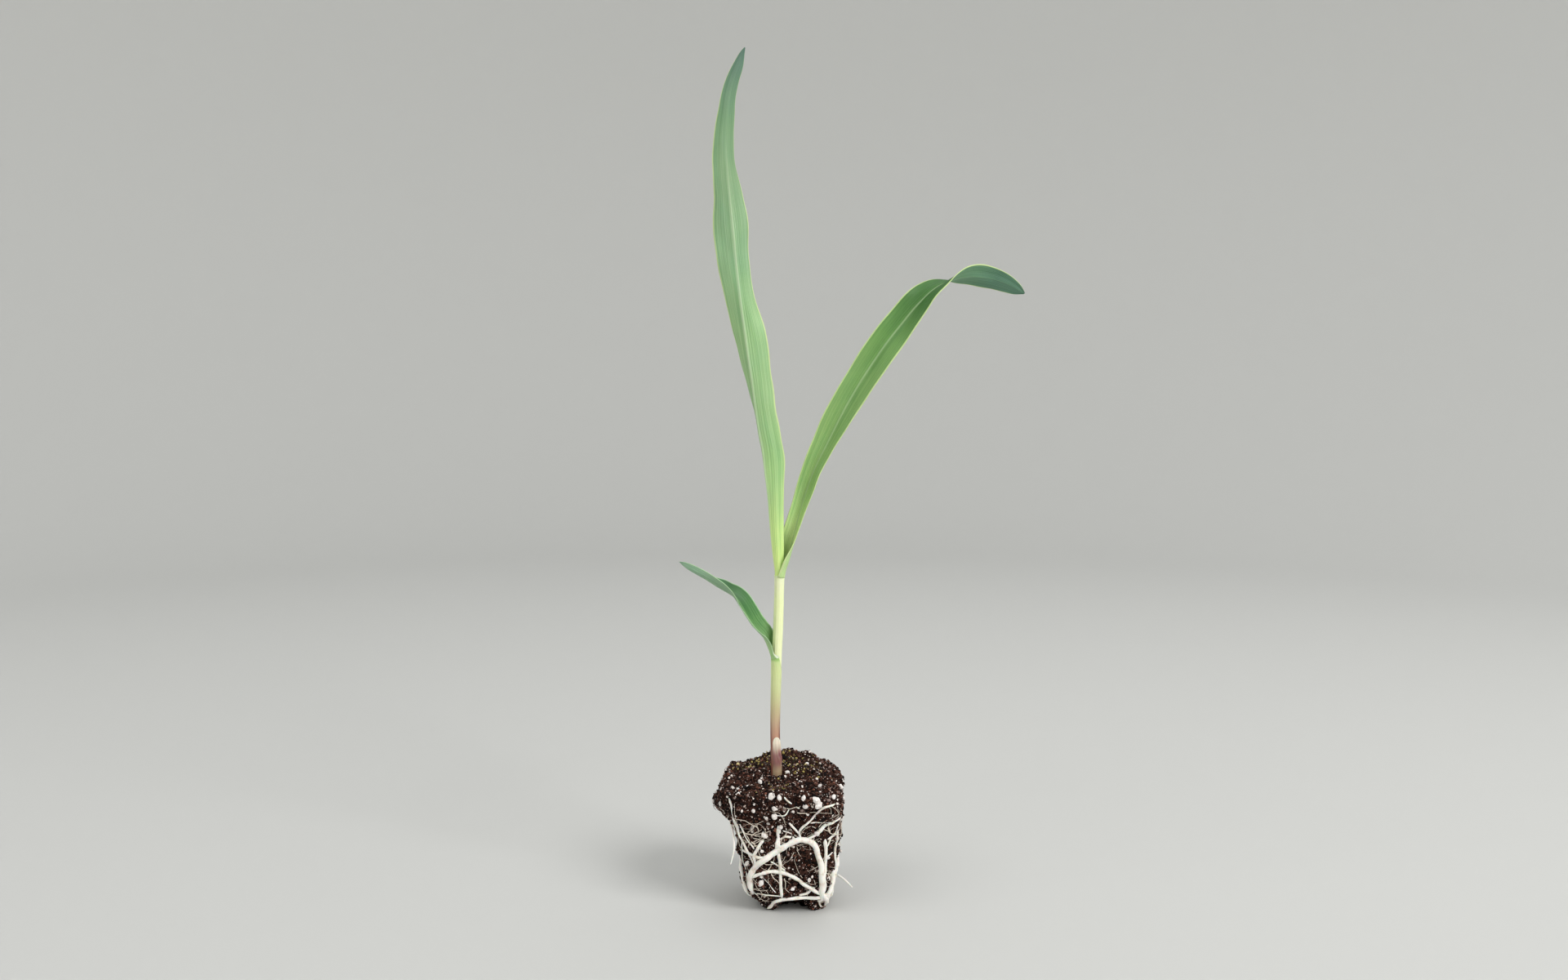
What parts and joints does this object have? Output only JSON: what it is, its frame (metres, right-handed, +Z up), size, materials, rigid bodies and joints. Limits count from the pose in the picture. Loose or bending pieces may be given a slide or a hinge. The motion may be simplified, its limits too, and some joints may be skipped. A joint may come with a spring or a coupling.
{
  "type": "maize plant on its root ball",
  "caption": "Young maize plant with an upright sheathed stem, three strap leaves and a tapered square root ball laced with white roots, standing on its flat underside.",
  "frame": {"origin": "on the root ball's flat underside, below the middle of its top", "axes": "+Z up along the plant's height, +X to the right as seen from the front, -Y towards the front"},
  "size_m": [0.1089, 0.0375, 0.2574],
  "materials": {
    "compost": "rough, moist peat with pale grains",
    "root": "smooth, slightly moist",
    "husk": "thin dry sleeve, pale at the tip",
    "lower_stem": "satin, reddish at the foot",
    "upper_stem": "satin, pale green",
    "old_leaf": "satin, dark green with fine veins",
    "young_leaf": "satin, fresh green with pale midrib and margins"
  },
  "bodies": {
    "root": {"root_ball": "compost", "front_roots": "root", "right_roots": "root", "back_roots": "root", "left_roots": "root", "loose_root_left": "root", "loose_root_right": "root", "coleoptile": "husk", "lower_sheath": "lower_stem", "upper_sheath": "upper_stem", "first_leaf": "old_leaf", "second_leaf": "young_leaf", "third_leaf": "young_leaf"}
  },
  "joints": []
}
